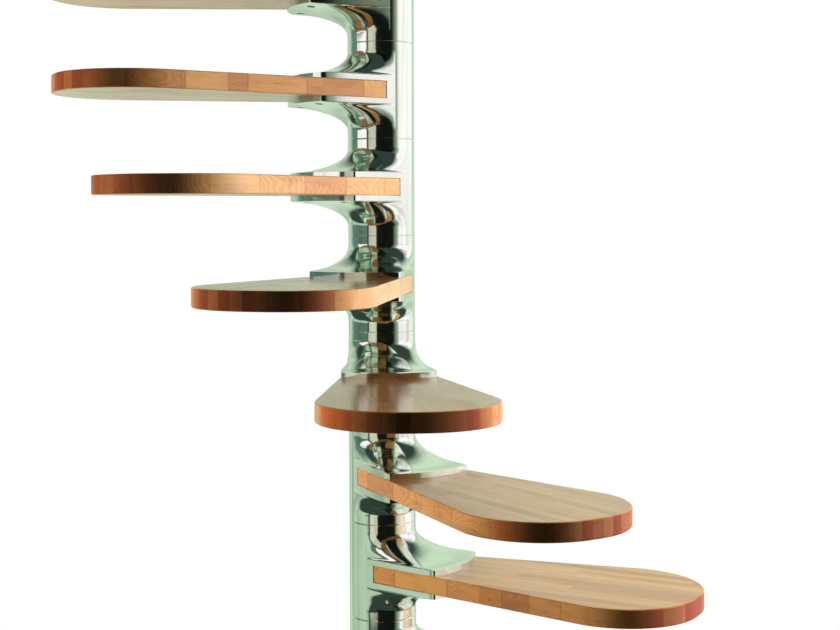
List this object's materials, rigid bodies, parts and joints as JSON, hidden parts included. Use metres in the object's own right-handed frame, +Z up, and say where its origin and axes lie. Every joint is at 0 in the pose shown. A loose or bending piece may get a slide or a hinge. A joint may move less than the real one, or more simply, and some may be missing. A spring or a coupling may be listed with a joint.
{
  "type": "spiral staircase",
  "caption": "Spiral staircase with fan-shaped laminated wood treads clamped between flared polished castings stacked as a column on a round foot.",
  "frame": {"origin": "centre of the foot's underside, on the floor and on the column's axis", "axes": "+Z up along the column; -Y towards the side the picture was taken from, +X to its right"},
  "size_m": [1.355, 1.0874, 1.891],
  "materials": {
    "polished_casting": "polished",
    "tread_wood": "gloss varnish",
    "tube_steel": "plain"
  },
  "bodies": {
    "root": {"base_foot": "polished_casting", "centre_tube": "tube_steel", "top_cap": "polished_casting", "tread_1": "tread_wood", "lower_hub_1": "polished_casting", "upper_hub_1": "polished_casting", "tread_2": "tread_wood", "lower_hub_2": "polished_casting", "upper_hub_2": "polished_casting", "tread_3": "tread_wood", "lower_hub_3": "polished_casting", "upper_hub_3": "polished_casting", "tread_4": "tread_wood", "lower_hub_4": "polished_casting", "upper_hub_4": "polished_casting", "tread_5": "tread_wood", "lower_hub_5": "polished_casting", "upper_hub_5": "polished_casting", "tread_6": "tread_wood", "lower_hub_6": "polished_casting", "upper_hub_6": "polished_casting", "tread_7": "tread_wood", "lower_hub_7": "polished_casting", "upper_hub_7": "polished_casting", "tread_8": "tread_wood", "lower_hub_8": "polished_casting", "upper_hub_8": "polished_casting", "tread_9": "tread_wood", "lower_hub_9": "polished_casting", "upper_hub_9": "polished_casting"}
  },
  "joints": []
}
